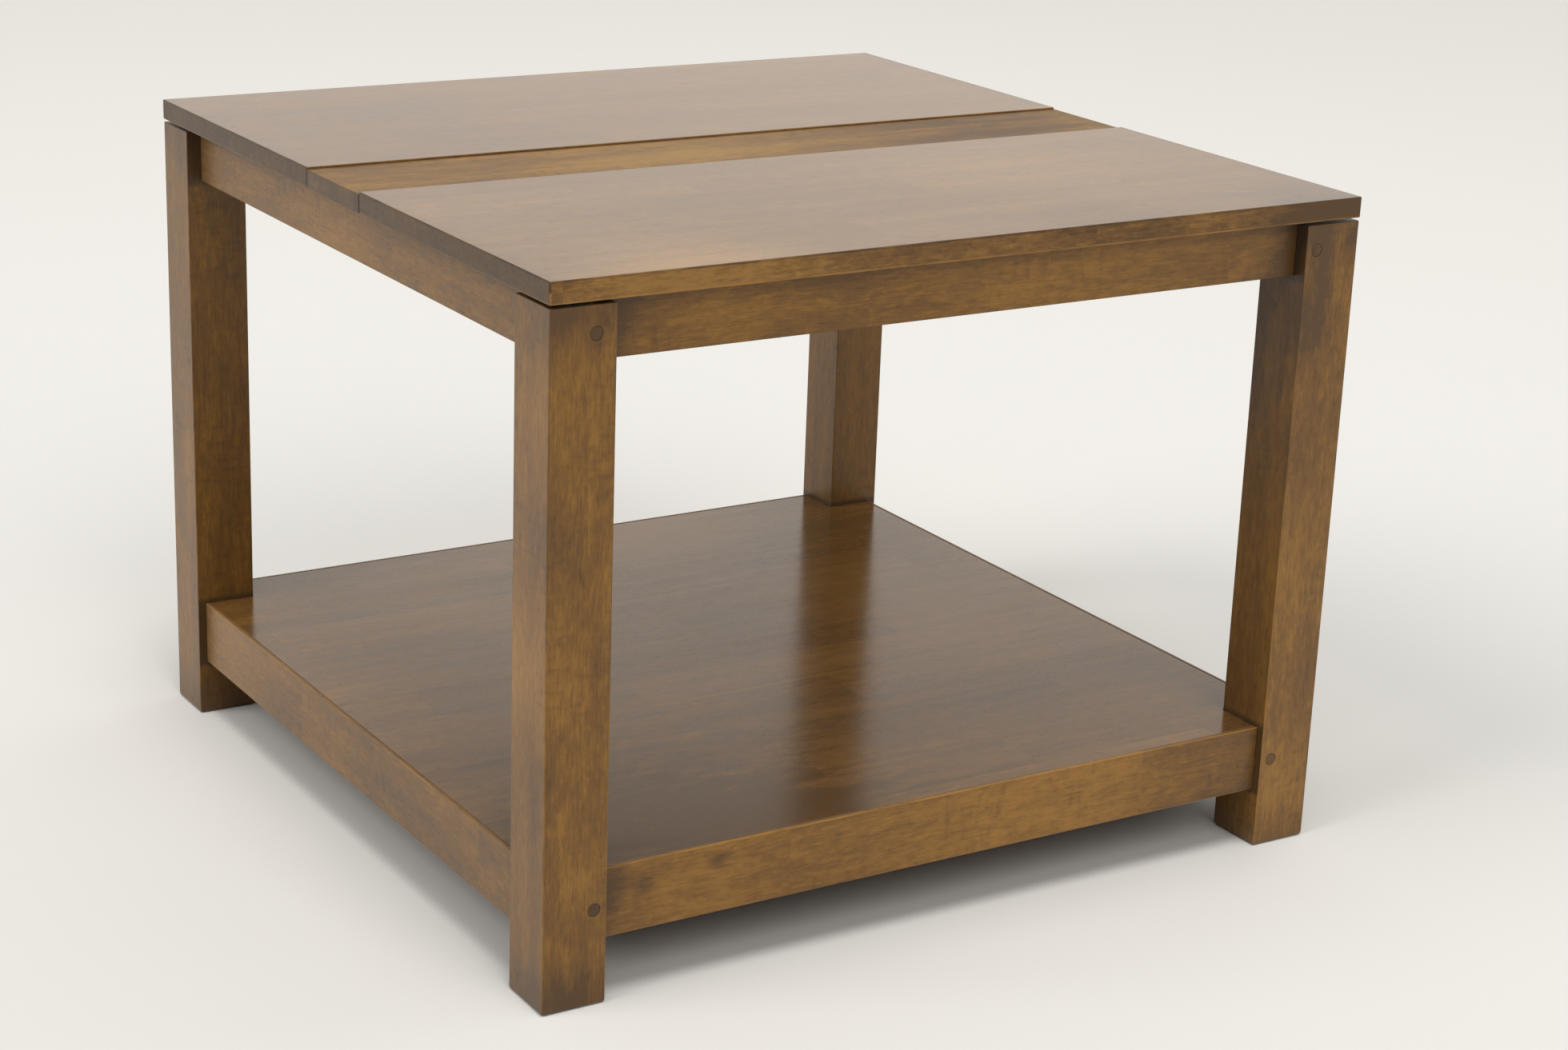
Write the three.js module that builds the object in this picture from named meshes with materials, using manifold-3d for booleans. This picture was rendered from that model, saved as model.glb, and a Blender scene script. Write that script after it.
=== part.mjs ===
// A square occasional table with a lower shelf, in millimetres, +Z up. The origin is on the floor, in the
// middle of the footprint, and +X runs along the front. Four square legs are joined by aprons under the
// top and by rails round the shelf. The tenons meet in a mitre inside each leg, and round pegs lock those
// of the front and the back. The top is two panels with a lower strip let in between them.

import * as THREE from "three";
import { mergeVertices } from "three/addons/utils/BufferGeometryUtils.js";
import Module from "manifold-3d";

// Whole table
const tableHeight = 525;
const topWidth = 690; // along X
const topDepth = 690; // along Y
const topThickness = 16;
const topOverhang = 0.6; // past the legs' outer faces
const shadowGap = 2.3; // between a leg's top and the underside of the top
const shelfHeight = 100; // the shelf's upper face above the floor

// Fits and edges
const jointGap = 0.3; // between any two pieces that meet
const overrun = 5; // how far a cut runs past the face that it opens
const arris = 0.8; // rounding of an exposed edge
const fineArris = 0.4; // rounding of an edge that lies against another piece
const roundSteps = 3; // facets in the rounding of an edge

// Legs
const legSide = 50;
const footRound = 3; // rounding round the foot

// Aprons, under the top
const apronHeight = 43;
const apronThickness = 22;
const apronSetback = 12; // from the legs' outer faces
const apronTenonThickness = 9;
const apronTenonHeight = 26;
const apronTenonLift = 5; // the tenon's underside above the apron's
const haunchLength = 8; // the short part of the tenon that fills the groove at the leg's top

// Rails, round the shelf
const railHeight = 53;
const railThickness = 24;
const railSetback = 7; // from the legs' outer faces
const railTenonThickness = 9;
const railTenonHeight = 26;
const railTenonLift = 9; // the tenon's underside above the rail's

// Shelf, let into the rails
const shelfThickness = 15;
const shelfLip = 3; // what the rebate leaves of the rail outside the shelf

// Top panels and the strip between them
const stripWidth = 94;
const stripRecess = 1.5; // the strip's upper face below the panels'
const stripTongueThickness = 5;
const stripTongueLength = 7;
const stripTongueStop = 22; // the tongues stop short of the strip's ends

// Pegs
const pegDiameter = 9.5;
const pegLength = 38;
const pegProud = 0.2; // past the leg's face
const pegDome = 0.4; // height of the rounded end
const pegTipLength = 4;
const pegTipDiameter = 6.5;
const pegInset = 10; // from the leg's inner edge to the peg's centre
const strayPegInset = 15.4; // the one peg that stands further from that edge
const pegSides = 20;

// Bearer under the middle of the top, from the front apron to the back one
const bearerWidth = 44;
const bearerHeight = 20;
const bearerTenonLength = 9;
const bearerTenonHeight = 9;
const bearerTenonShoulder = 7; // on each side of the tenon

// Buttons that hold the top down on the aprons
const buttonWidth = 28; // along the apron
const buttonLength = 32; // away from the apron
const buttonHeight = 17;
const buttonTongueLength = 8;
const buttonTongueHeight = 6;
const buttonTongueDrop = 9; // from the button's upper face to the tongue's
const buttonPlay = 2; // room along the slot, for the wood to move
const buttonSpacing = 400; // between the two of one apron

// Wood screws
const screwDiameter = 4;
const screwHeadDiameter = 8;
const screwHeadHeight = 2.6;
const screwTipLength = 4;
const screwBite = 10; // how far a screw goes into the top
const screwHeadSink = 1; // below the face it is driven into
const screwSlotWidth = 1;
const screwSlotDepth = 0.9;
const screwSides = 12;
const bearerScrewSpacing = 150;

// Levels and places that follow from the sizes
const topUnderside = tableHeight - topThickness;
const seatUnderTop = topUnderside - jointGap;
const legTop = topUnderside - shadowGap;
const frameHalfWidth = topWidth / 2 - topOverhang;
const frameHalfDepth = topDepth / 2 - topOverhang;
const shelfUnderside = shelfHeight - shelfThickness;
const stripTop = tableHeight - stripRecess;
const stripTongueBottom = (topUnderside + stripTop - stripTongueThickness) / 2;
const cornerRound = 2 * arris; // rounding of an exposed corner, seen from above
const fineCornerRound = 2 * fineArris;

const apron = {
  bottom: seatUnderTop - apronHeight,
  top: seatUnderTop,
  thickness: apronThickness,
  setback: apronSetback,
  cheeks: cheeksOf(apronThickness, apronTenonThickness),
  tenonBottom: seatUnderTop - apronHeight + apronTenonLift,
  tenonTop: seatUnderTop - apronHeight + apronTenonLift + apronTenonHeight,
};
const rail = {
  bottom: shelfHeight - railHeight,
  top: shelfHeight,
  thickness: railThickness,
  setback: railSetback,
  cheeks: cheeksOf(railThickness, railTenonThickness),
  tenonBottom: shelfHeight - railHeight + railTenonLift,
  tenonTop: shelfHeight - railHeight + railTenonLift + railTenonHeight,
};

// The four sides, each with its turn about +Z from the front, the distance of the legs' outer faces from
// the middle, and the clear length between two legs.
const clearWidth = 2 * (frameHalfWidth - legSide);
const clearDepth = 2 * (frameHalfDepth - legSide);
const quarterTurn = Math.PI / 2;
const sides = [
  { name: "front", turn: 0, reach: frameHalfDepth, length: clearWidth, pegged: true },
  { name: "right", turn: quarterTurn, reach: frameHalfWidth, length: clearDepth, pegged: false },
  { name: "back", turn: 2 * quarterTurn, reach: frameHalfDepth, length: clearWidth, pegged: true },
  { name: "left", turn: -quarterTurn, reach: frameHalfWidth, length: clearDepth, pegged: false },
];

// The four corners, with the signs of their X and Y.
const corners = [
  { name: "front_left", signs: [-1, -1] },
  { name: "front_right", signs: [1, -1] },
  { name: "back_right", signs: [1, 1] },
  { name: "back_left", signs: [-1, 1] },
];

const wood = {
  frame: new THREE.MeshStandardMaterial({ color: 0x7a5a34, roughness: 0.38, metalness: 0 }),
  panel: new THREE.MeshStandardMaterial({ color: 0x6e4f2e, roughness: 0.26, metalness: 0 }),
  strip: new THREE.MeshStandardMaterial({ color: 0x8a6739, roughness: 0.45, metalness: 0 }),
  peg: new THREE.MeshStandardMaterial({ color: 0x553c22, roughness: 0.5, metalness: 0 }),
  hidden: new THREE.MeshStandardMaterial({ color: 0xb89b6e, roughness: 0.7, metalness: 0 }),
};
const steel = new THREE.MeshStandardMaterial({ color: 0x9a9a96, roughness: 0.35, metalness: 1 });

// The two faces of a tenon in the middle of a board, measured from the board's outer face.
function cheeksOf(thickness, tenonThickness) {
  return [(thickness - tenonThickness) / 2, (thickness + tenonThickness) / 2];
}

// Solids

const wasm = await Module();
wasm.setup();

function solid(geometry) {
  const bare = geometry.index ? geometry.toNonIndexed() : geometry.clone();
  bare.deleteAttribute("normal");
  bare.deleteAttribute("uv");
  const merged = mergeVertices(bare);
  const mesh = new wasm.Mesh({
    numProp: 3,
    vertProperties: new Float32Array(merged.attributes.position.array),
    triVerts: new Uint32Array(merged.index.array),
  });
  return new wasm.Manifold(mesh);
}

function geometryOf(body) {
  const { vertProperties, triVerts } = body.getMesh();
  const geometry = new THREE.BufferGeometry();
  geometry.setAttribute("position", new THREE.BufferAttribute(vertProperties, 3));
  geometry.setIndex(new THREE.BufferAttribute(triVerts, 1));
  return geometry;
}

function meshOf(name, body, material) {
  const mesh = new THREE.Mesh(geometryOf(body), material);
  mesh.name = name;
  return mesh;
}

// A block between two limits on each axis, given in either order.
function block(alongX, alongY, alongZ) {
  const spans = [alongX, alongY, alongZ];
  const size = spans.map(([from, to]) => Math.abs(to - from));
  const middle = spans.map(([from, to]) => (from + to) / 2);
  return solid(new THREE.BoxGeometry(...size).translate(...middle));
}

// A closed outline through corners of the form [across, up, radius of the rounding].
function outline(points) {
  const shape = new THREE.Shape();
  points.forEach(([across, up, radius], index) => {
    const corner = new THREE.Vector2(across, up);
    const towards = ([x, y]) => new THREE.Vector2(x, y).sub(corner).setLength(radius).add(corner);
    const start = towards(points.at(index - 1));
    const end = towards(points[(index + 1) % points.length]);
    if (index === 0) shape.moveTo(start.x, start.y);
    else shape.lineTo(start.x, start.y);
    if (radius > 0) shape.quadraticCurveTo(across, up, end.x, end.y);
  });
  shape.closePath();
  return shape;
}

function rectangle(halfWidth, halfDepth, radius) {
  return outline([
    [-halfWidth, -halfDepth, radius],
    [halfWidth, -halfDepth, radius],
    [halfWidth, halfDepth, radius],
    [-halfWidth, halfDepth, radius],
  ]);
}

// A plate on an outline in the XY plane, with its upper and lower edges rounded by ease.
function plate(shape, bottom, top, ease) {
  const geometry = new THREE.ExtrudeGeometry(shape, {
    depth: top - bottom - 2 * ease,
    bevelEnabled: ease > 0,
    bevelThickness: ease,
    bevelSize: ease,
    bevelOffset: -ease,
    bevelSegments: roundSteps,
    curveSegments: roundSteps,
  });
  return solid(geometry.translate(0, 0, bottom + ease));
}

// A length of moulding along X: the section's across runs along +Y and its up along +Z.
function moulding(section, length) {
  const geometry = new THREE.ExtrudeGeometry(section, {
    depth: length,
    bevelEnabled: false,
    curveSegments: roundSteps,
  });
  const turned = new THREE.Matrix4().makeBasis(
    new THREE.Vector3(0, 1, 0),
    new THREE.Vector3(0, 0, 1),
    new THREE.Vector3(1, 0, 0),
  );
  return solid(geometry.translate(0, 0, -length / 2).applyMatrix4(turned));
}

// An upright square bar about the Z axis, drawn in at its ends: each level is [height, inset].
function squareBar(side, radius, levels) {
  const points = rectangle(side / 2, side / 2, radius).getPoints(roundSteps);
  points.pop();
  const around = points.length;
  const positions = levels.flatMap(([height, inset]) => {
    const drawnIn = 1 - (2 * inset) / side;
    return points.flatMap(({ x, y }) => [x * drawnIn, y * drawnIn, height]);
  });
  const faces = [];
  for (let ring = 0; ring < levels.length - 1; ring++) {
    for (let i = 0; i < around; i++) {
      const low = ring * around + i;
      const lowNext = ring * around + ((i + 1) % around);
      faces.push(low, lowNext, lowNext + around, low, lowNext + around, low + around);
    }
  }
  const lastRing = (levels.length - 1) * around;
  for (let i = 1; i < around - 1; i++) {
    faces.push(0, i + 1, i, lastRing, lastRing + i, lastRing + i + 1);
  }
  const geometry = new THREE.BufferGeometry();
  geometry.setAttribute("position", new THREE.Float32BufferAttribute(positions, 3));
  geometry.setIndex(faces);
  return solid(geometry);
}

// A turned piece about the Y axis. The profile runs up from the axis to the axis as [radius, along].
function turned(profile, count) {
  const points = profile.map(([radius, along]) => new THREE.Vector2(radius, along));
  return solid(new THREE.LatheGeometry(points, count));
}

// A round hole of a given diameter, whose axis is +Y from one limit to another.
function drill(diameter, from, to, count) {
  const radius = diameter / 2;
  return turned([[0, from], [radius, from], [radius, to], [0, to]], count);
}

// Legs. A leg's frame has its origin at the table's corner on the floor, and distances from the two
// outer faces count inwards.

function legLevels() {
  const levels = [];
  for (let step = 0; step <= roundSteps; step++) {
    const angle = (quarterTurn * step) / roundSteps;
    levels.push([footRound * (1 - Math.cos(angle)), footRound * (1 - Math.sin(angle))]);
  }
  for (let step = roundSteps; step >= 0; step--) {
    const angle = (quarterTurn * step) / roundSteps;
    levels.push([legTop - arris * (1 - Math.cos(angle)), arris * (1 - Math.sin(angle))]);
  }
  return levels;
}

// The mortises for the two boards of one height: two slots that meet where the tenons' mitres do.
function mortises([signX, signY], board) {
  const [outerCheek, innerCheek] = board.cheeks.map((cheek) => board.setback + cheek);
  const across = [outerCheek - jointGap, innerCheek + jointGap];
  const along = [outerCheek - jointGap, legSide + overrun];
  const up = [board.tenonBottom - jointGap, board.tenonTop + jointGap];
  const onX = (limits) => limits.map((value) => -signX * value);
  const onY = (limits) => limits.map((value) => -signY * value);
  return block(onX(along), onY(across), up).add(block(onX(across), onY(along), up));
}

// The grooves at the leg's top that take the haunches of the two aprons.
function haunchGrooves([signX, signY]) {
  const across = apron.cheeks.map((cheek) => apron.setback + cheek);
  const wide = [across[0] - jointGap, across[1] + jointGap];
  const along = [legSide - haunchLength - jointGap, legSide + overrun];
  const up = [apron.tenonTop, legTop + overrun];
  const onX = (limits) => limits.map((value) => -signX * value);
  const onY = (limits) => limits.map((value) => -signY * value);
  return block(onX(along), onY(wide), up).add(block(onX(wide), onY(along), up));
}

function pegPlaces(corner) {
  const stray = corner.name === "front_left";
  return [
    { level: "upper", height: (apron.bottom + apron.top) / 2, inset: stray ? strayPegInset : pegInset },
    { level: "lower", height: (rail.bottom + rail.top) / 2, inset: pegInset },
  ];
}

function leg(corner) {
  const [signX, signY] = corner.signs;
  const bar = squareBar(legSide, arris, legLevels());
  let body = bar.translate((-signX * legSide) / 2, (-signY * legSide) / 2, 0);
  body = body.subtract(mortises(corner.signs, apron));
  body = body.subtract(mortises(corner.signs, rail));
  body = body.subtract(haunchGrooves(corner.signs));
  for (const { height, inset } of pegPlaces(corner)) {
    const limits = [signY * overrun, -signY * (pegLength - pegProud + jointGap)].sort((a, b) => a - b);
    const hole = drill(pegDiameter + 2 * jointGap, ...limits, pegSides);
    body = body.subtract(hole.translate(-signX * (legSide - inset), 0, height));
  }
  return body;
}

// A peg with its rounded end on the leg's outer face and its tapered tip inwards, along +Y.
function peg() {
  const radius = pegDiameter / 2;
  const head = -pegProud;
  const tip = pegLength - pegProud;
  return turned(
    [
      [0, head],
      [radius - 2 * pegDome, head + pegDome / 4],
      [radius, head + pegDome],
      [radius, tip - pegTipLength],
      [pegTipDiameter / 2, tip],
      [0, tip],
    ],
    pegSides,
  );
}

// Aprons and rails. A board's frame has +X along it and +Y inwards from its outer face.

// A tenon at the board's +X end, cut to a mitre that meets the next board's inside the leg.
function tenon(board, length) {
  const shoulder = length / 2 - jointGap;
  const [outerCheek, innerCheek] = board.cheeks;
  const reach = (cheek) => length / 2 + legSide - board.setback - cheek - jointGap;
  const shape = outline([
    [shoulder - overrun, outerCheek, 0],
    [reach(outerCheek), outerCheek, 0],
    [reach(innerCheek), innerCheek, 0],
    [shoulder - overrun, innerCheek, 0],
  ]);
  return plate(shape, board.tenonBottom, board.tenonTop, 0);
}

function bothEnds(body) {
  return body.add(body.mirror([1, 0, 0]));
}

// The holes that the pegs need through the tenons of a pegged board.
function tenonPegHoles(board, insets, height) {
  const hole = drill(pegDiameter + 2 * jointGap, -overrun, board.thickness + overrun, pegSides);
  return insets.map((place) => hole.translate(place, 0, height));
}

function apronSection() {
  return outline([
    [0, apron.bottom, arris],
    [apron.thickness, apron.bottom, arris],
    [apron.thickness, apron.top, fineArris],
    [0, apron.top, fineArris],
  ]);
}

function haunch(length) {
  const along = [length / 2 - jointGap - overrun, length / 2 + haunchLength];
  return block(along, apron.cheeks, [apron.tenonTop - overrun, legTop - jointGap]);
}

function buttonSlot(place) {
  const along = buttonWidth / 2 + buttonPlay;
  const tongueTop = seatUnderTop - buttonTongueDrop;
  const depth = [apron.thickness - buttonTongueLength - jointGap, apron.thickness + overrun];
  const up = [tongueTop - buttonTongueHeight - jointGap, tongueTop + jointGap];
  return block([place - along, place + along], depth, up);
}

function bearerMortise() {
  const along = bearerWidth / 2 - bearerTenonShoulder + jointGap;
  const middle = seatUnderTop - bearerHeight / 2;
  const half = bearerTenonHeight / 2 + jointGap;
  const depth = [apron.thickness - bearerTenonLength - jointGap, apron.thickness + overrun];
  return block([-along, along], depth, [middle - half, middle + half]);
}

// Where the pegs pass through a board's two ends, as places along the board's own X.
function pegPlacesAlong(side, level) {
  return corners
    .filter(({ signs }) => signs[1] === (side.name === "front" ? -1 : 1))
    .map((corner) => {
      const { inset } = pegPlaces(corner).find((place) => place.level === level);
      const ownSign = side.name === "front" ? corner.signs[0] : -corner.signs[0];
      return ownSign * (side.length / 2 + inset);
    });
}

function drillForPegs(body, board, side, level) {
  const height = (board.bottom + board.top) / 2;
  const holes = tenonPegHoles(board, pegPlacesAlong(side, level), height);
  return holes.reduce((drilled, hole) => drilled.subtract(hole), body);
}

function apronBody(side) {
  let body = moulding(apronSection(), side.length - 2 * jointGap);
  body = body.add(bothEnds(tenon(apron, side.length)));
  body = body.add(bothEnds(haunch(side.length)));
  for (const place of [-buttonSpacing / 2, buttonSpacing / 2]) {
    body = body.subtract(buttonSlot(place));
  }
  if (!side.pegged) return body;
  return drillForPegs(body.subtract(bearerMortise()), apron, side, "upper");
}

// The rail's section has a rebate for the shelf, and the lip that it leaves outside is flush with it.
function railSection() {
  const rebateFloor = shelfUnderside - jointGap;
  return outline([
    [0, rail.bottom, arris],
    [rail.thickness, rail.bottom, arris],
    [rail.thickness, rebateFloor, fineArris],
    [shelfLip, rebateFloor, 0],
    [shelfLip, rail.top, fineArris],
    [0, rail.top, arris],
  ]);
}

function railBody(side) {
  let body = moulding(railSection(), side.length - 2 * jointGap);
  body = body.add(bothEnds(tenon(rail, side.length)));
  return side.pegged ? drillForPegs(body, rail, side, "lower") : body;
}

// Buttons and screws. They stand in the frame of the apron that they belong to.

const buttonFace = apron.thickness + jointGap; // where the button's body starts
const screwPlace = buttonFace + buttonLength / 2;

function button() {
  const top = seatUnderTop;
  const bottom = top - buttonHeight;
  const tongueTop = top - buttonTongueDrop;
  const tongueBottom = tongueTop - buttonTongueHeight;
  const far = buttonFace + buttonLength;
  const tongueEnd = apron.thickness - buttonTongueLength;
  const section = outline([
    [buttonFace, bottom, fineArris],
    [far, bottom, arris],
    [far, top, fineArris],
    [buttonFace, top, fineArris],
    [buttonFace, tongueTop, 0],
    [tongueEnd, tongueTop, fineArris],
    [tongueEnd, tongueBottom, fineArris],
    [buttonFace, tongueBottom, 0],
  ]);
  const body = moulding(section, buttonWidth);
  return body.subtract(screwHole(bottom).translate(0, screwPlace, 0));
}

// A screw driven upwards about the Z axis into the top, from a face at the height given.
function screw(face) {
  const head = face + screwHeadSink;
  const neck = head + screwHeadHeight;
  const tip = topUnderside + screwBite;
  const radius = screwDiameter / 2;
  const headRadius = screwHeadDiameter / 2;
  const body = turned(
    [
      [0, head],
      [headRadius, head],
      [radius, neck],
      [radius, tip - screwTipLength],
      [0, tip],
    ],
    screwSides,
  );
  const slot = block(
    [-headRadius - overrun, headRadius + overrun],
    [head - overrun, head + screwSlotDepth],
    [-screwSlotWidth / 2, screwSlotWidth / 2],
  );
  return upright(body.subtract(slot));
}

// Turns a piece made along +Y to stand along +Z.
function upright(body) {
  return body.rotate([90, 0, 0]);
}

// The countersunk hole for a screw in the piece that it is driven through.
function screwHole(face) {
  const neck = face + screwHeadSink + screwHeadHeight + jointGap;
  const radius = screwDiameter / 2 + jointGap;
  const headRadius = screwHeadDiameter / 2 + jointGap;
  const sunk = face + screwHeadSink;
  const end = topUnderside + overrun;
  const profile = [
    [0, face - overrun],
    [headRadius, face - overrun],
    [headRadius, sunk],
    [radius, neck],
    [radius, end],
    [0, end],
  ];
  return upright(turned(profile, screwSides));
}

// The blind hole for a screw's end in the top.
function pilotHole() {
  const end = topUnderside + screwBite + jointGap;
  return upright(drill(screwDiameter + 2 * jointGap, topUnderside - overrun, end, screwSides));
}

// Where a button's screw enters the top, for each side of the table.
function buttonScrewPlaces() {
  return sides.flatMap((side) =>
    [-buttonSpacing / 2, buttonSpacing / 2].map((along) => {
      const inwards = side.reach - apron.setback - screwPlace;
      return new THREE.Vector3(along, -inwards, 0).applyAxisAngle(new THREE.Vector3(0, 0, 1), side.turn);
    }),
  );
}

const bearerScrews = [
  { name: "front", y: -bearerScrewSpacing },
  { name: "middle", y: 0 },
  { name: "back", y: bearerScrewSpacing },
];

// Top

// A panel of the top, on the side of the strip that the sign gives.
function topPanel(sign) {
  const halfStrip = stripWidth / 2;
  const depth = topDepth / 2 - halfStrip;
  const middle = sign * (halfStrip + depth / 2);
  let body = plate(rectangle(topWidth / 2, depth / 2, cornerRound), topUnderside, tableHeight, arris);
  body = body.translate(0, middle, 0);
  const grooveHalf = topWidth / 2 - stripTongueStop + jointGap;
  const groove = block(
    [-grooveHalf, grooveHalf],
    [sign * (halfStrip - overrun), sign * (halfStrip + stripTongueLength + jointGap)],
    [stripTongueBottom - jointGap, stripTongueBottom + stripTongueThickness + jointGap],
  );
  body = body.subtract(groove);
  const screws = [...buttonScrewPlaces(), ...bearerScrews.map(({ y }) => ({ x: 0, y }))];
  for (const { x, y } of screws) {
    if (sign * y > halfStrip) body = body.subtract(pilotHole().translate(x, y, 0));
  }
  return body;
}

function centreStrip() {
  const half = stripWidth / 2 - jointGap;
  const body = plate(rectangle(topWidth / 2, half, fineCornerRound), topUnderside, stripTop, fineArris);
  const tongueHalf = topWidth / 2 - stripTongueStop;
  const tongueReach = stripWidth / 2 + stripTongueLength;
  const tongues = block(
    [-tongueHalf, tongueHalf],
    [-tongueReach, tongueReach],
    [stripTongueBottom, stripTongueBottom + stripTongueThickness],
  );
  return body.add(tongues).subtract(pilotHole());
}

// The bearer lies across the table, tenoned into the front and back aprons.
function bearer() {
  const half = frameHalfDepth - apron.setback - apron.thickness - jointGap;
  const bottom = seatUnderTop - bearerHeight;
  const middle = seatUnderTop - bearerHeight / 2;
  const tenonHalf = bearerWidth / 2 - bearerTenonShoulder;
  const tenonReach = half + jointGap + bearerTenonLength;
  let body = plate(rectangle(bearerWidth / 2, half, fineCornerRound), bottom, seatUnderTop, fineArris);
  body = body.add(
    block(
      [-tenonHalf, tenonHalf],
      [-tenonReach, tenonReach],
      [middle - bearerTenonHeight / 2, middle + bearerTenonHeight / 2],
    ),
  );
  for (const { y } of bearerScrews) {
    body = body.subtract(screwHole(bottom).translate(0, y, 0));
  }
  return body;
}

// Shelf: one panel inside the lips of the rails, notched round the legs.
function shelf() {
  const edgeX = frameHalfWidth - rail.setback - shelfLip - jointGap;
  const edgeY = frameHalfDepth - rail.setback - shelfLip - jointGap;
  const notchX = frameHalfWidth - legSide - jointGap;
  const notchY = frameHalfDepth - legSide - jointGap;
  const shape = outline([
    [-notchX, -edgeY, fineCornerRound],
    [notchX, -edgeY, fineCornerRound],
    [notchX, -notchY, 0],
    [edgeX, -notchY, fineCornerRound],
    [edgeX, notchY, fineCornerRound],
    [notchX, notchY, 0],
    [notchX, edgeY, fineCornerRound],
    [-notchX, edgeY, fineCornerRound],
    [-notchX, notchY, 0],
    [-edgeX, notchY, fineCornerRound],
    [-edgeX, -notchY, fineCornerRound],
    [-notchX, -notchY, 0],
  ]);
  return plate(shape, shelfUnderside, shelfHeight, fineArris);
}

// The assembly

const table = new THREE.Group();

for (const corner of corners) {
  const [signX, signY] = corner.signs;
  const post = new THREE.Group();
  post.position.set(signX * frameHalfWidth, signY * frameHalfDepth, 0);
  post.add(meshOf("leg_" + corner.name, leg(corner), wood.frame));
  for (const { level, height, inset } of pegPlaces(corner)) {
    const pin = meshOf("peg_" + level + "_" + corner.name, peg(), wood.peg);
    pin.position.set(-signX * (legSide - inset), 0, height);
    pin.rotation.z = signY > 0 ? 2 * quarterTurn : 0;
    post.add(pin);
  }
  table.add(post);
}

for (const side of sides) {
  const group = new THREE.Group();
  group.rotation.z = side.turn;
  const apronMesh = meshOf("apron_" + side.name, apronBody(side), wood.frame);
  apronMesh.position.y = apron.setback - side.reach;
  const railMesh = meshOf("rail_" + side.name, railBody(side), wood.frame);
  railMesh.position.y = rail.setback - side.reach;
  group.add(apronMesh, railMesh);
  [-1, 1].forEach((sign, index) => {
    const fixing = new THREE.Group();
    fixing.position.set((sign * buttonSpacing) / 2, apron.setback - side.reach, 0);
    fixing.add(meshOf("button_" + side.name + "_" + (index + 1), button(), wood.hidden));
    const pin = meshOf("screw_" + side.name + "_" + (index + 1), screw(seatUnderTop - buttonHeight), steel);
    pin.position.y = screwPlace;
    fixing.add(pin);
    group.add(fixing);
  });
  table.add(group);
}

const top = new THREE.Group();
top.add(meshOf("top_panel_front", topPanel(-1), wood.panel));
top.add(meshOf("top_panel_back", topPanel(1), wood.panel));
top.add(meshOf("centre_strip", centreStrip(), wood.strip));
top.add(meshOf("centre_bearer", bearer(), wood.hidden));
for (const { name, y } of bearerScrews) {
  const pin = meshOf("bearer_screw_" + name, screw(seatUnderTop - bearerHeight), steel);
  pin.position.y = y;
  top.add(pin);
}
table.add(top);

table.add(meshOf("shelf_panel", shelf(), wood.panel));

export default table;
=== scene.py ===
import math

import bpy
from mathutils import Matrix, Vector


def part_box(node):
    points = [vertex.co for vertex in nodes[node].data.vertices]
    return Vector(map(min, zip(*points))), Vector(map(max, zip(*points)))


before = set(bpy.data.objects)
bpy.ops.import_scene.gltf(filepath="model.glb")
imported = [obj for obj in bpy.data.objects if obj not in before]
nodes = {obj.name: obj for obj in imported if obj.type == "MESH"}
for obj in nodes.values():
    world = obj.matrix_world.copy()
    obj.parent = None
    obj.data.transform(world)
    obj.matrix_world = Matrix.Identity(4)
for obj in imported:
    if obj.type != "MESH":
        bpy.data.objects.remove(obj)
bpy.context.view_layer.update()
print("frame:", len(nodes), "pieces of the table loaded")

scene = bpy.context.scene
scene.view_settings.view_transform = "Standard"


# Shader maths written as sums

class Wire:
    # one socket of a tree, so that 1 - wire or wire * 0.3 adds a Math node
    def __init__(self, tree, socket):
        self.tree = tree
        self.socket = socket

    def maths(self, operation, first, second):
        return self.tree.node("ShaderNodeMath", {"operation": operation}, {0: first, 1: second})

    def __add__(self, other):
        return self.maths("ADD", self, other)

    def __radd__(self, other):
        return self.maths("ADD", other, self)

    def __sub__(self, other):
        return self.maths("SUBTRACT", self, other)

    def __rsub__(self, other):
        return self.maths("SUBTRACT", other, self)

    def __mul__(self, other):
        return self.maths("MULTIPLY", self, other)

    def __rmul__(self, other):
        return self.maths("MULTIPLY", other, self)

    def __truediv__(self, other):
        return self.maths("DIVIDE", self, other)

    def __rtruediv__(self, other):
        return self.maths("DIVIDE", other, self)

    def __abs__(self):
        return self.tree.node("ShaderNodeMath", {"operation": "ABSOLUTE"}, {0: self})

    def floor(self):
        return self.tree.node("ShaderNodeMath", {"operation": "FLOOR"}, {0: self})

    def beside(self, output):  # another output of the same node
        return Wire(self.tree, self.socket.node.outputs[output])

    def low(self, other):
        return self.maths("MINIMUM", self, other)

    def high(self, other):
        return self.maths("MAXIMUM", self, other)


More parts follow.
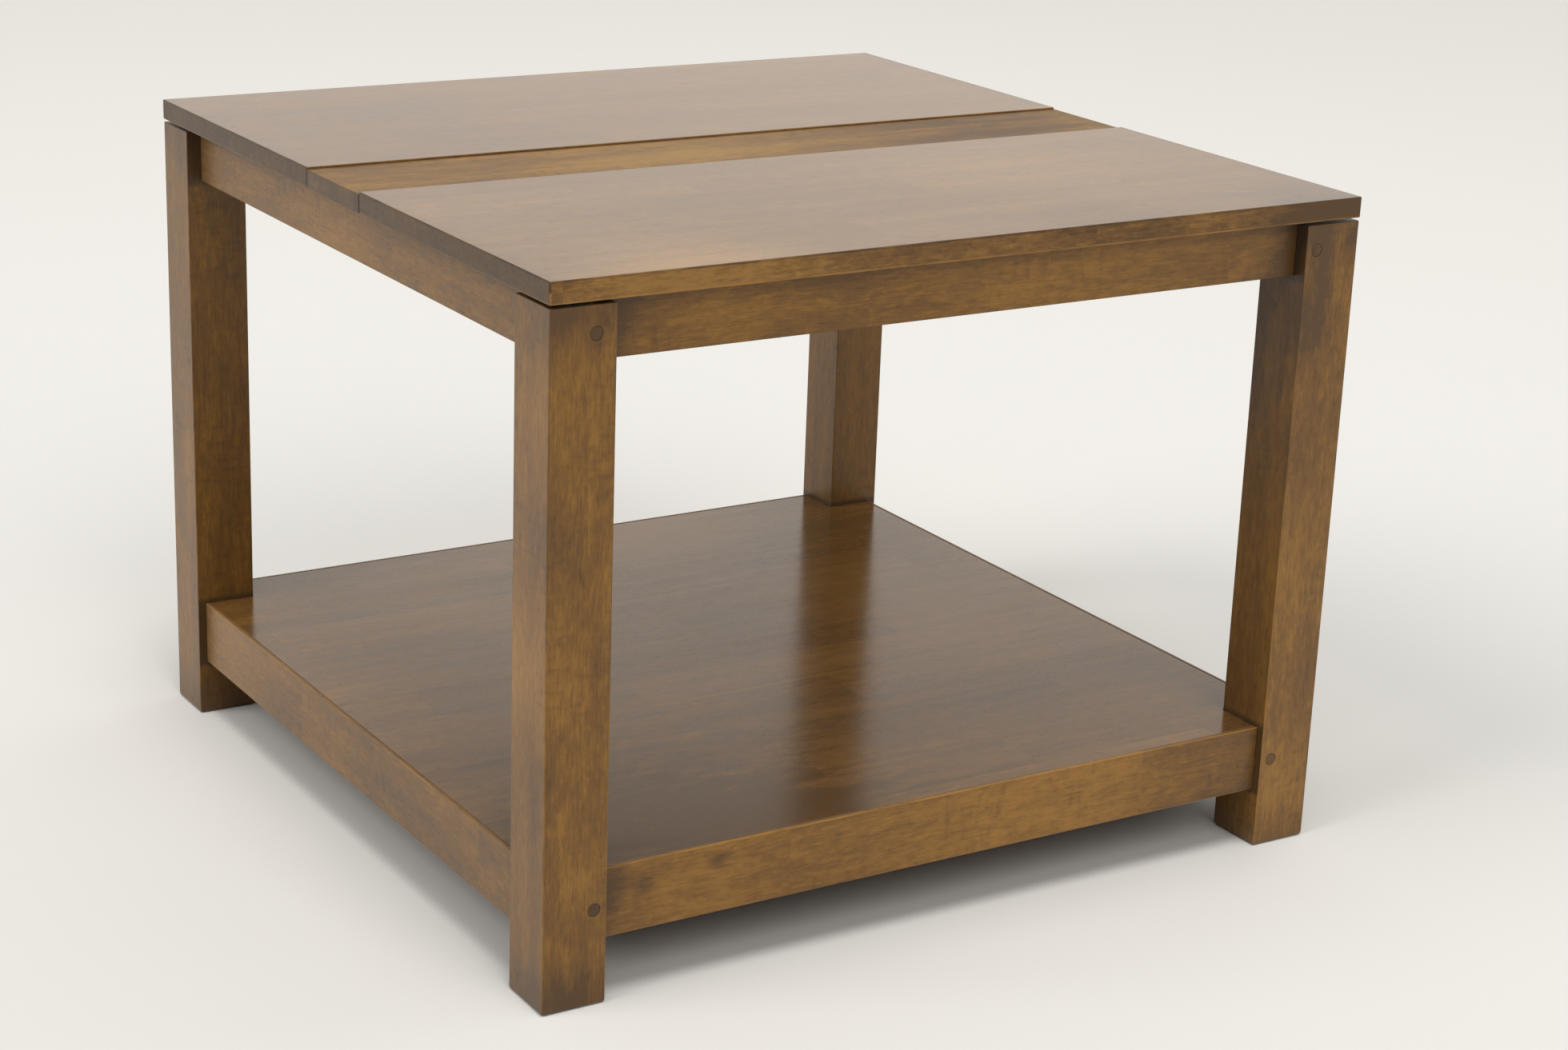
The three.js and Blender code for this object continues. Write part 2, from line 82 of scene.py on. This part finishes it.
class Tree:
    # the nodes of a material, of the world or of a modifier
    def __init__(self, owner):
        if isinstance(owner, bpy.types.NodeTree):
            self.tree = owner
        else:
            owner.use_nodes = True
            self.tree = owner.node_tree
        self.tree.nodes.clear()

    def node(self, kind, settings=None, sockets=None, take=0):
        made = self.tree.nodes.new(kind)
        for setting, value in (settings or {}).items():
            if setting == "stops":
                self.setStops(made.color_ramp, value)
            else:
                setattr(made, setting, value)
        for socket, value in (sockets or {}).items():
            if isinstance(value, Wire):
                self.tree.links.new(value.socket, made.inputs[socket])
            else:
                made.inputs[socket].default_value = value
        return Wire(self, made.outputs[take]) if made.outputs else made

    def setStops(self, ramp, stops):
        while len(ramp.elements) < len(stops):
            ramp.elements.new(1)
        for element, (position, colour) in zip(ramp.elements, stops):
            element.position = position
            element.color = (*colour, 1)

    def rise(self, value, start, end):  # 0 below start, 1 above end, smooth between
        return self.node(
            "ShaderNodeMapRange",
            {"interpolation_type": "SMOOTHSTEP"},
            {"Value": value, "From Min": start, "From Max": end},
        )

    def fall(self, value, start, end):  # the other way round
        return 1 - self.rise(value, start, end)

    def split(self, vector):
        first = self.node("ShaderNodeSeparateXYZ", None, {0: vector})
        return [first.beside(axis) for axis in "XYZ"]

    def mix(self, share, first, second, blend="MIX"):
        return self.node(
            "ShaderNodeMix",
            {"data_type": "RGBA", "blend_type": blend},
            {0: share, 6: first, 7: second},
            take=2,
        )

    def vector(self, operation, first, second, take=0):
        return self.node("ShaderNodeVectorMath", {"operation": operation}, {0: first, 1: second}, take)

    def noise(self, place, detail=2, roughness=0.5, distortion=0, take=0):
        shape = {"Scale": 1, "Detail": detail, "Roughness": roughness, "Distortion": distortion}
        return self.node("ShaderNodeTexNoise", None, {"Vector": place, **shape}, take)


# The stained and lacquered wood

frameFinish = {  # legs, and most of what the other pieces start from
    "dark": (0.078, 0.034, 0.004),
    "middle": (0.168, 0.074, 0.007),
    "light": (0.300, 0.140, 0.016),
    "endGrain": 0.55,  # how much of its colour an end keeps
    "bands": 0.50,  # broad tones along the grain
    "blotches": 0.62,  # where the stain took unevenly
    "mottle": 0.58,  # small cloudy marks
    "streaks": 0.62,  # fibres
    "ripples": 0.16,  # marks across the grain
    "pores": 0.21,  # short dark lines
    "roughness": 0.40,
    "relief": 0.12,
    "ior": 1.47,
    "paintedSheen": 0.13,  # painted sheen: grey painted into the colour where a face is seen at a low angle
    "sideFigure": 0.0,  # how much stronger the figure is on upright faces
    "arrisWidth": 0.0012,  # metres from the corner
    "upperWearAndLight": -0.30,  # how much paler the upper corners are, or darker where it is below nought: paler is a painted highlight, darker a painted shade, both broken up by wear
    "lowerWearAndLight": 0.25,
    "staveWidth": 0.0,  # metres, and nought where the piece is one board wide
    "blockLength": 0.0,  # metres, and nought where it is one board long
    "blockTone": 0.0,  # how much the boards differ
    "jointDarkening": 0.24,  # how much darker the wood is beside a joint
}
apronFinish = {
    **frameFinish,
    "lowerWearAndLight": -0.15,
    "blockLength": 0.32,
    "blockTone": 0.10,
    "jointDarkening": 0.14,
}
railFinish = {**apronFinish, "arrisWidth": 0.0010, "upperWearAndLight": 0.60, "lowerWearAndLight": 0.45}
panelFinish = {  # the two top panels, rubbed smoother
    "dark": (0.084, 0.038, 0.007),
    "middle": (0.166, 0.076, 0.013),
    "light": (0.280, 0.138, 0.026),
    "endGrain": 0.50,
    "bands": 0.40,
    "blotches": 0.50,
    "mottle": 0.42,
    "streaks": 0.30,
    "ripples": 0.05,
    "pores": 0.225,
    "roughness": 0.16,
    "relief": 0.02,
    "ior": 1.42,
    "paintedSheen": 0.05,
    "sideFigure": 1.3,
    "arrisWidth": 0.0020,
    "upperWearAndLight": -0.75,
    "lowerWearAndLight": 0.60,
    "staveWidth": 0.058,
    "blockLength": 0.43,
    "blockTone": 0.10,
    "jointDarkening": 0.10,
}
shelfFinish = {
    **panelFinish,
    "dark": (0.076, 0.034, 0.006),
    "middle": (0.150, 0.068, 0.010),
    "light": (0.255, 0.122, 0.020),
    "bands": 0.58,
    "blotches": 0.62,
    "blockTone": 0.17,
    "roughness": 0.18,
    "ior": 1.66,
    "paintedSheen": 0.04,
    "upperWearAndLight": 0.20,
    "lowerWearAndLight": 0.10,
}
stripFinish = {  # the sunk strip, less rubbed than the panels beside it
    **frameFinish,
    "dark": (0.085, 0.037, 0.004),
    "middle": (0.170, 0.080, 0.009),
    "light": (0.290, 0.150, 0.022),
    "endGrain": 0.44,
    "bands": 0.95,
    "blotches": 0.85,
    "mottle": 0.50,
    "streaks": 0.75,
    "pores": 0.275,
    "roughness": 0.50,
    "ior": 1.45,
    "paintedSheen": 0.07,
    "upperWearAndLight": 0.15,
    "lowerWearAndLight": 0.15,
    "jointDarkening": 0.34,
}
pegFinish = {**frameFinish, "endGrain": 0.46, "jointDarkening": 0.0}
palePegFinish = {**pegFinish, "endGrain": 0.80}
bareFinish = {  # bearer and buttons below the top, never stained
    **frameFinish,
    "dark": (0.360, 0.225, 0.110),
    "middle": (0.520, 0.360, 0.200),
    "light": (0.640, 0.480, 0.300),
    "endGrain": 0.72,
    "bands": 0.60,
    "blotches": 0.30,
    "mottle": 0.10,
    "streaks": 0.45,
    "ripples": 0.15,
    "pores": 0.175,
    "roughness": 0.70,
    "relief": 0.18,
    "ior": 1.45,
    "paintedSheen": 0.0,
    "upperWearAndLight": 0.10,
    "lowerWearAndLight": 0.10,
    "jointDarkening": 0.0,
}
toneStops = (0.12, 0.50, 0.88)  # where the dark, middle and light colours stand
# colour of the painted sheen
paintedSheenColour = (0.55, 0.54, 0.53)
figure = {  # sizes of the figure in metres: along the grain, across the grain
    "band": (0.34, 0.016),
    "blotch": (0.060, 0.022),
    "mottle": (0.011, 0.0045),
    "streak": (0.022, 0.0014),
    "ripple": (0.005, 0.018),
    "rippleZone": (0.09, 0.05),
    "pore": (0.011, 0.0006),
    "wander": (0.22, 0.07),
    "wanderBy": 0.004,
    "endPore": 0.0009,
    "ring": (0.05, 0.0030),
    "blockStagger": 0.37,  # share of a block's length from one stave to the next
}
shows = {  # from which strength of its noise a mark shows, and where it shows in full
    "ripple": (0.50, 0.75),
    "rippleZone": (0.45, 0.65),
    "pore": (0.60, 0.72),
    "rubbing": (0.38, 0.60),
}
turned = {  # how squarely a face looks one way: where that begins to count, and where it does in full
    "flat": (0.4, 0.8),
    "inwards": (0.5, 0.9),
    "end": (0.55, 0.90),
}
sheen = {"streaks": 0.12, "blotches": 0.10, "pores": 0.08}  # what each adds to the roughness
bumps = {"depth": 0.0004, "streaks": 0.5, "pores": 0.9, "endPores": 0.8}  # metres, then shares of it
endLook = {"pores": 0.5, "rings": 0.35, "roughness": 0.34, "unevenness": 0.2}
# thin lines along the corners: painted highlight and painted shade, broken up by wear
arrisLook = {
    "haloWidth": 0.0040,  # metres from the corner
    "haloStain": 0.10,
    "wornLength": 0.045,
    "leastWorn": 0.25,
    "ragged": 0.001,
    "core": 0.4,  # share of the width that is rubbed in full
    "waist": 0.001,  # metres above and below the middle, where the upper corners turn into the lower
    "wearAndHighlightTone": 1.4,
    "grimeAndShadeTone": 0.5,
}
socketShadeLook = {  # painted shade on a leg's inner faces
    "levels": [(0.046, 0.101), (0.465, 0.507)],  # from where to where rails and aprons meet the leg
    "reach": 0.006,
    "socketShade": 0.75,
    "allOver": 0.15,
    "tone": 0.25,
}
spots = {  # darker and paler places in one piece, mostly uneven stain, some painted shade and painted reflection as marked: middle, reach in metres, change of tone
    "leg_front_left": [
        ((-0.344, -0.344, 0.435), 0.060, 0.12),
        ((-0.344, -0.344, 0.345), 0.050, -0.15),
        ((-0.354, -0.300, 0.250), 0.080, 0.34),
        ((-0.344, -0.344, 0.170), 0.050, -0.20),
        ((-0.310, -0.344, 0.095), 0.040, 0.14),
        ((-0.344, -0.344, 0.000), 0.050, -0.28),
    ],
    "leg_front_right": [
        # painted shade on the leg's inner top, under the apron
        ((0.290, -0.305, 0.440), 0.095, -0.34),
        ((0.319, -0.344, 0.330), 0.060, -0.10),
        ((0.300, -0.344, 0.230), 0.110, 0.18),
        ((0.319, -0.344, 0.030), 0.110, 0.24),
    ],
    "leg_back_right": [((0.300, 0.294, 0.300), 0.400, 0.26)],
    "apron_front": [
        # painted shade beside the right leg, partly darker stain
        ((0.300, -0.332, 0.487), 0.050, -0.45),
        ((-0.292, -0.332, 0.495), 0.028, -0.50),
        ((-0.200, -0.332, 0.480), 0.080, 0.12),
        ((0.080, -0.332, 0.480), 0.180, 0.16),
    ],
    "apron_left": [((-0.332, 0.030, 0.487), 0.110, 0.20)],
    "rail_front": [
        ((-0.292, -0.337, 0.085), 0.026, -0.60),
        ((-0.262, -0.337, 0.080), 0.011, -0.35),
        ((-0.200, -0.337, 0.086), 0.014, -0.32),
        ((-0.210, -0.337, 0.065), 0.090, 0.20),
        ((0.080, -0.337, 0.074), 0.220, 0.26),
    ],
    "rail_left": [
        ((-0.337, 0.260, 0.074), 0.130, 0.22),
        ((-0.337, -0.120, 0.074), 0.220, -0.12),
    ],
    "top_panel_front": [
        ((-0.230, -0.345, 0.517), 0.130, 0.36),
        ((0.130, -0.345, 0.517), 0.110, -0.22),
        ((0.300, -0.345, 0.517), 0.100, -0.45),
        ((0.150, -0.150, 0.525), 0.170, 0.16),
    ],
    "top_panel_back": [((-0.230, 0.180, 0.525), 0.240, -0.14)],
    "centre_strip": [
        ((-0.050, 0.010, 0.524), 0.220, 0.18),
        ((0.230, -0.030, 0.524), 0.120, -0.30),
    ],
    "shelf_panel": [
        # painted shade on the shelf's front under the top, then painted reflection of the pale
        # surroundings at its middle and back
        ((-0.190, -0.300, 0.100), 0.210, -0.52),
        ((0.240, 0.050, 0.100), 0.200, 0.34),
        ((-0.150, 0.250, 0.100), 0.180, 0.30),
        ((0.080, 0.320, 0.100), 0.220, 0.50),
    ],
}


def shade(colour, tone=1):  # a colour made paler or darker, with its alpha
    return (*[tone * part for part in colour], 1)


def centred(value):  # a noise as a swing about nought
    return value - 0.5


def stretched(tree, place, grain, size):
    along, across = size
    scale = [1 / across] * 3
    scale[grain] = 1 / along
    return tree.vector("MULTIPLY", place, scale)


def specks(tree, place, size, detail):  # noise of one size every way
    return tree.noise(tree.vector("MULTIPLY", place, [1 / size] * 3), detail=detail)


def cornerDistance(axes, box):
    # metres to the nearest corner line: the middle one of the distances to the three pairs of faces
    lowest, highest = box
    gaps = []
    for axis, low, high in zip(axes, lowest, highest):
        gaps.append((high - low) / 2 - abs(axis - (low + high) / 2))
    x, y, z = gaps
    return x.low(y).high(x.high(y).low(z))


def easeCorners(tree, colour, finish, box, axes, moved, mottle):
    # a little stain gathers beside the corners, and a thin line along them is painted paler or darker,
    # the upper corners apart from the lower: painted highlight and painted shade, broken up by wear
    corner = cornerDistance(axes, box)
    halo = tree.fall(corner, 0, arrisLook["haloWidth"]) * arrisLook["haloStain"]
    colour = tree.mix(halo, colour, shade(finish["dark"]))
    rubbing = tree.rise(specks(tree, moved, arrisLook["wornLength"], 3), *shows["rubbing"])
    patchy = rubbing * (1 - arrisLook["leastWorn"]) + arrisLook["leastWorn"]
    ragged = corner + centred(mottle) * arrisLook["ragged"]
    width = finish["arrisWidth"]
    line = tree.fall(ragged, width * arrisLook["core"], width) * patchy
    lowest, highest = box
    middle = (lowest.z + highest.z) / 2
    upper = tree.rise(axes[2], middle - arrisLook["waist"], middle + arrisLook["waist"])
    wearAndHighlight = shade(finish["light"], arrisLook["wearAndHighlightTone"])
    grimeAndShade = shade(finish["dark"], arrisLook["grimeAndShadeTone"])
    # paler lines are painted highlight with wear, darker lines painted shade with grime
    for half, amount in ((upper, finish["upperWearAndLight"]), (1 - upper, finish["lowerWearAndLight"])):
        colour = tree.mix(line * half * abs(amount), colour, wearAndHighlight if amount > 0 else grimeAndShade)
    return colour


def shadeSockets(tree, colour, finish, signs, axes, facing):
    # painted shade on the inner faces of a leg, above all beside the rails and aprons that meet it
    inwards = (facing[0] * -signs[0]).high(facing[1] * -signs[1])
    socketShade = socketShadeLook["allOver"]
    for low, high in socketShadeLook["levels"]:
        beside = tree.rise(axes[2], low - socketShadeLook["reach"], low)
        beside = beside * tree.fall(axes[2], high, high + socketShadeLook["reach"])
        socketShade = (beside * socketShadeLook["socketShade"]).high(socketShade)
    share = tree.rise(inwards, *turned["inwards"]) * socketShade
    return tree.mix(share, colour, shade(finish["dark"], socketShadeLook["tone"]))


def woodMaterial(name, finish, grain, box, shift, joint, signs):
    material = bpy.data.materials.new(name + " wood")
    tree = Tree(material)
    here = tree.node("ShaderNodeTexCoord", take="Object")
    axes = tree.split(here)
    facing = tree.split(tree.node("ShaderNodeTexCoord", take="Normal"))
    moved = tree.vector("ADD", here, shift)
    tone = toneStops[1]

    # blocks of different trees, each with its own tone and its own piece of figure
    if finish["blockLength"]:
        lane = (axes[1] / finish["staveWidth"] + 0.5).floor() if finish["staveWidth"] else 0
        along = (axes[grain] + shift[0]) / finish["blockLength"]
        block = (along + lane * figure["blockStagger"]).floor()
        cell = tree.node("ShaderNodeCombineXYZ", None, {0: lane, 1: block, 2: shift[1]})
        chance = tree.node("ShaderNodeTexWhiteNoise", {"noise_dimensions": "3D"}, {"Vector": cell})
        moved = tree.vector("ADD", moved, chance.beside("Color"))
        tone = tone + centred(chance) * finish["blockTone"]

    # the fibres wander a little from side to side
    wander = tree.noise(stretched(tree, moved, grain, figure["wander"]), detail=1, take="Color")
    sway = tree.vector("SUBTRACT", wander, (0.5, 0.5, 0.5))
    reach = [figure["wanderBy"] * 2] * 3
    reach[grain] = 0
    wood = tree.vector("ADD", moved, tree.vector("MULTIPLY", sway, reach))

    def marks(kind, **shape):
        return tree.noise(stretched(tree, wood, grain, figure[kind]), **shape)

    bands = marks("band", detail=3, roughness=0.55)
    blotches = marks("blotch", detail=4, roughness=0.6, distortion=0.4)
    mottle = marks("mottle", detail=3, roughness=0.6, distortion=0.5)
    streaks = marks("streak", detail=3, roughness=0.6)
    ripples = tree.rise(marks("ripple", detail=2), *shows["ripple"])
    rippleZone = tree.rise(marks("rippleZone", detail=1), *shows["rippleZone"])
    pores = tree.rise(marks("pore", detail=1), *shows["pore"])

    tone = tone + centred(bands) * finish["bands"] + centred(blotches) * finish["blotches"]
    upright = tree.fall(abs(facing[2]), *turned["flat"]) * finish["sideFigure"] + 1
    tone = tone + (centred(mottle) * finish["mottle"] + centred(streaks) * finish["streaks"]) * upright
    tone = tone - pores * finish["pores"] - ripples * rippleZone * finish["ripples"]

    # darker and paler places, some of them painted shade and painted reflection, and darker wood beside
    # the joints
    for place, spotReach, change in spots.get(name, []):
        ragged = tree.vector("DISTANCE", here, place, take="Value") + centred(blotches) * spotReach
        tone = tone + tree.fall(ragged, 0, spotReach) * change
    if joint:
        distance = joint["at"] - abs(axes[joint["axis"]] - joint["centre"])
        ragged = distance + centred(blotches) * (joint["reach"] / 2)
        tone = tone - tree.fall(ragged, 0, joint["reach"]) * finish["jointDarkening"]

    stops = zip(toneStops, (finish["dark"], finish["middle"], finish["light"]))
    colour = tree.node("ShaderNodeValToRGB", {"stops": list(stops)}, {0: tone})
    colour = easeCorners(tree, colour, finish, box, axes, moved, mottle)
    # painted shade on a leg's inner faces
    if signs:
        colour = shadeSockets(tree, colour, finish, signs, axes, facing)

    # a painted sheen, grey where a face is seen at a low angle, and the ends of the grain
    slant = tree.node("ShaderNodeLayerWeight", None, {"Blend": 0.5}, take="Facing")
    colour = tree.mix(slant * slant * finish["paintedSheen"], colour, shade(paintedSheenColour))
    ending = tree.rise(abs(facing[grain]), *turned["end"])
    dots = specks(tree, moved, figure["endPore"], 2)
    rings = tree.noise(stretched(tree, moved, (grain + 1) % 3, figure["ring"]), detail=2)
    endTone = 1 + centred(dots) * endLook["pores"] + centred(rings) * endLook["rings"]
    endTone = endTone * finish["endGrain"]
    endShade = tree.node("ShaderNodeCombineXYZ", None, {0: endTone, 1: endTone, 2: endTone})
    colour = tree.mix(ending, colour, tree.mix(1, colour, endShade, blend="MULTIPLY"))

    roughness = finish["roughness"] + centred(streaks) * sheen["streaks"]
    roughness = roughness + centred(blotches) * sheen["blotches"] + pores * sheen["pores"]
    endRoughness = endLook["roughness"] + centred(dots) * endLook["unevenness"]
    roughness = roughness * (1 - ending) + endRoughness * ending
    height = streaks * bumps["streaks"] - pores * bumps["pores"] - ending * dots * bumps["endPores"]
    normal = tree.node(
        "ShaderNodeBump",
        None,
        {"Strength": finish["relief"], "Distance": bumps["depth"], "Height": height},
    )
    shader = tree.node(
        "ShaderNodeBsdfPrincipled",
        None,
        {"Base Color": colour, "Roughness": roughness, "Normal": normal, "IOR": finish["ior"]},
    )
    tree.node("ShaderNodeOutputMaterial", None, {"Surface": shader})
    return material


# Steel of the screws below the top

screwFinish = {
    "colour": (0.52, 0.50, 0.46),
    "dull": (0.30, 0.29, 0.27),
    "dullShows": (0.35, 0.70),
    "dullSize": 0.004,
    "roughness": 0.34,
    "unevenness": 0.2,
    "grainSize": 0.0006,
    "relief": 0.1,
    "depth": 0.0002,
}


def steelMaterial(name):
    material = bpy.data.materials.new(name)
    tree = Tree(material)
    here = tree.node("ShaderNodeTexCoord", take="Object")
    fine = specks(tree, here, screwFinish["grainSize"], 3)
    cloud = specks(tree, here, screwFinish["dullSize"], 2)
    dull = tree.rise(cloud, *screwFinish["dullShows"])
    colour = tree.mix(dull, shade(screwFinish["colour"]), shade(screwFinish["dull"]))
    roughness = screwFinish["roughness"] + centred(cloud) * screwFinish["unevenness"]
    normal = tree.node(
        "ShaderNodeBump",
        None,
        {"Strength": screwFinish["relief"], "Distance": screwFinish["depth"], "Height": fine},
    )
    shader = tree.node(
        "ShaderNodeBsdfPrincipled",
        None,
        {"Base Color": colour, "Metallic": 1, "Roughness": roughness, "Normal": normal},
    )
    tree.node("ShaderNodeOutputMaterial", None, {"Surface": shader})
    return material


# Every piece gets a length of wood of its own

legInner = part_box("leg_front_right")[0].x  # from the middle to a leg's inner face
stripEdge = 0.0468  # from the middle to the strip's upright faces, without its tongues
topBox = (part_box("top_panel_front")[0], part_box("top_panel_back")[1])
jointDarkReach = {"leg": 0.045, "rail": 0.030, "panel": 0.020, "shelf": 0.030, "strip": 0.008}


def jointAt(axis, distance, reach, centre=0):  # the wood darkens this far out from the centre, on both sides
    return {"axis": axis, "at": distance, "reach": jointDarkReach[reach], "centre": centre}


def woodOf(name):  # finish, grain axis, where the wood darkens by a joint, and which way a leg stands from the middle
    low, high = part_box(name)
    middle = (low + high) / 2
    if name.startswith("leg_"):
        signs = (math.copysign(1, middle.x), math.copysign(1, middle.y))
        return frameFinish, 2, jointAt(2, (high.z - low.z) / 2, "leg", middle.z), signs
    if name.startswith(("apron_", "rail_")):
        finish = apronFinish if name.startswith("apron_") else railFinish
        grain = 0 if name.endswith(("front", "back")) else 1
        return finish, grain, jointAt(grain, legInner, "rail"), None
    if name.startswith("top_panel"):
        return panelFinish, 0, jointAt(0, high.x, "panel"), None
    if name == "shelf_panel":
        return shelfFinish, 0, jointAt(1, high.y, "shelf"), None
    if name == "centre_strip":
        return stripFinish, 0, jointAt(1, stripEdge, "strip"), None
    if name.startswith("peg_"):
        return palePegFinish if name == "peg_lower_front_right" else pegFinish, 1, None, None
    grain = 1 if name.startswith(("centre_bearer", "button_front", "button_back")) else 0
    return bareFinish, grain, None, None


steel = steelMaterial("zinc screws")
for number, name in enumerate(sorted(nodes)):
    if "screw" in name:
        material = steel
    else:
        finish, grain, joint, signs = woodOf(name)
        shift = (1.37 * number, 0.83 * number + 0.4, 2.11 * number)  # a place of its own in the noise
        box = topBox if name.startswith("top_panel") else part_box(name)
        material = woodMaterial(name, finish, grain, box, shift, joint, signs)
    for slot in nodes[name].material_slots:
        slot.material = material
print("wood: grain laid out on", len(nodes), "pieces")


# Smooth eased corners, without moving a point of the pieces

smoothing = {"weld": 0.000002, "sharpAbove": math.radians(48), "areaWeight": 90}


def smoothingGroup():
    group = bpy.data.node_groups.new("smooth eased corners", "GeometryNodeTree")
    for way in ("INPUT", "OUTPUT"):
        group.interface.new_socket("Geometry", in_out=way, socket_type="NodeSocketGeometry")
    tree = Tree(group)
    welded = tree.node(
        "GeometryNodeMergeByDistance",
        None,
        {"Geometry": tree.node("NodeGroupInput"), "Distance": smoothing["weld"]},
    )
    rounded = tree.node(
        "GeometryNodeSetShadeSmooth",
        {"domain": "FACE"},
        {"Geometry": welded, "Shade Smooth": True},
    )
    sharp = tree.node(
        "FunctionNodeCompare",
        {"data_type": "FLOAT", "operation": "GREATER_THAN"},
        {0: tree.node("GeometryNodeInputMeshEdgeAngle"), 1: smoothing["sharpAbove"]},
    )
    creased = tree.node(
        "GeometryNodeSetShadeSmooth",
        {"domain": "EDGE"},
        {"Geometry": rounded, "Selection": sharp, "Shade Smooth": False},
    )
    tree.node("NodeGroupOutput", None, {0: creased})
    return group


cornerSmoothing = smoothingGroup()
for piece in nodes.values():
    piece.modifiers.new("smooth corners", "NODES").node_group = cornerSmoothing
    even = piece.modifiers.new("even faces", "WEIGHTED_NORMAL")
    even.keep_sharp = True
    even.weight = smoothing["areaWeight"]
print("corners: shaded smooth")


# Floor, light and camera

studio = {
    "floorRadius": 30.0,
    "floorSides": 128,
    "floorColour": (0.694, 0.686, 0.668),
    # painted shade: the floor darker far from the table
    "farShadeColour": (0.600, 0.588, 0.562),
    "farFrom": (1.0, 5.5),  # metres from the middle over which the floor turns to the far colour, a painted shade where the light falls off
    "farUneven": 0.4,
    "cloudsPerMetre": 1.2,
    "floorRoughness": 0.85,
    "floorShine": 0.15,
    "paleColour": (0.98, 0.94, 0.88),  # what gloss sees past the floor
    "dimColour": (0.11, 0.105, 0.095),  # in a band above it
    "highColour": (0.66, 0.64, 0.60),  # and overhead
    "paleUpTo": (0.379, 0.407),  # where one turns into the next, as the sine of the height
    "dimUpTo": (0.52, 0.74),
    "skyColour": (1.0, 0.995, 0.975),
    "skyAtHorizon": 0.05,
    "skyAbove": 0.40,
    "skyRise": 0.60,  # how far up, as the sine of the height, the sky reaches its full strength
}
softLights = {  # from where, how wide in degrees, and how strong in watts a square metre
    "overhead light": ((-0.25, -0.9, 4.8), 24, 1.22),
    "front light": ((-0.3, -4.4, 3.8), 36, 1.00),
    "left light": ((-4.4, 0.3, 3.8), 36, 1.32),
    "right light": ((4.0, 0.8, 4.6), 50, 0.28),
}
lightColour = (1.0, 0.985, 0.95)
cameraFit = {
    "place": (-1.236366, -2.052181, 0.992846),
    "turn": -32.217,
    "tilt": -18.057,
    "roll": 2.128,
    "lens": 70.478,
    "sensor": 36,
    "clip": (0.05, 100),
}


def makeFloor():
    bpy.ops.mesh.primitive_circle_add(
        vertices=studio["floorSides"], radius=studio["floorRadius"], fill_type="NGON"
    )
    floor = bpy.context.object
    floor.name = "studioFloor"
    material = bpy.data.materials.new("pale floor")
    tree = Tree(material)
    here = tree.node("ShaderNodeTexCoord", take="Object")
    cloud = specks(tree, here, 1 / studio["cloudsPerMetre"], 3)
    distance = tree.vector("LENGTH", here, (0, 0, 0), take="Value")
    # painted shade, darker far from the table where the light falls off
    farShade = tree.rise(distance + centred(cloud) * studio["farUneven"], *studio["farFrom"])
    shader = tree.node(
        "ShaderNodeBsdfPrincipled",
        None,
        {
            "Base Color": tree.mix(farShade, shade(studio["floorColour"]), shade(studio["farShadeColour"])),
            "Roughness": studio["floorRoughness"],
            "Specular IOR Level": studio["floorShine"],
        },
    )
    tree.node("ShaderNodeOutputMaterial", None, {"Surface": shader})
    floor.data.materials.append(material)


def makeSky():
    world = bpy.data.worlds.new("studio")
    scene.world = world
    tree = Tree(world)
    eye = tree.node("ShaderNodeLightPath", take="Is Camera Ray")
    gloss = eye.beside("Is Glossy Ray").high(eye.beside("Is Transmission Ray"))
    upwards = tree.split(tree.node("ShaderNodeTexCoord", take="Generated"))[2]
    rising = tree.rise(upwards, 0, studio["skyRise"])
    strength = rising * (studio["skyAbove"] - studio["skyAtHorizon"]) + studio["skyAtHorizon"]
    lit = tree.node(
        "ShaderNodeBackground", None, {"Color": shade(studio["skyColour"]), "Strength": strength}
    )
    high = tree.rise(upwards, *studio["dimUpTo"])
    above = tree.mix(high, shade(studio["dimColour"]), shade(studio["highColour"]))
    dimmed = tree.rise(upwards, *studio["paleUpTo"]) * gloss
    backdrop = tree.mix(dimmed, shade(studio["paleColour"]), above)
    seen = tree.node("ShaderNodeBackground", None, {"Color": backdrop, "Strength": 1})
    both = tree.node("ShaderNodeMixShader", None, {0: eye.high(gloss), 1: lit, 2: seen})
    tree.node("ShaderNodeOutputWorld", None, {"Surface": both})


def makeSoftLight(name, source, width, strength):
    lamp = bpy.data.lights.new(name, "SUN")
    lamp.energy = strength
    lamp.angle = math.radians(width)
    lamp.color = lightColour
    stand = bpy.data.objects.new(name, lamp)
    scene.collection.objects.link(stand)
    stand.location = source
    stand.rotation_euler = Vector(source).to_track_quat("Z", "Y").to_euler()


def makeCamera():
    lens = bpy.data.cameras.new("camera")
    lens.sensor_fit = "HORIZONTAL"
    lens.sensor_width = cameraFit["sensor"]
    lens.lens = cameraFit["lens"]
    lens.clip_start, lens.clip_end = cameraFit["clip"]
    camera = bpy.data.objects.new("camera", lens)
    scene.collection.objects.link(camera)
    turn = Matrix.Rotation(math.radians(cameraFit["turn"]), 4, "Z")
    tilt = Matrix.Rotation(math.radians(90 + cameraFit["tilt"]), 4, "X")
    roll = Matrix.Rotation(math.radians(cameraFit["roll"]), 4, "Z")
    camera.matrix_world = Matrix.Translation(cameraFit["place"]) @ turn @ tilt @ roll
    scene.camera = camera


makeFloor()
makeSky()
for lightName, (source, width, strength) in softLights.items():
    makeSoftLight(lightName, source, width, strength)
makeCamera()
print("studio: floor, light and camera placed")
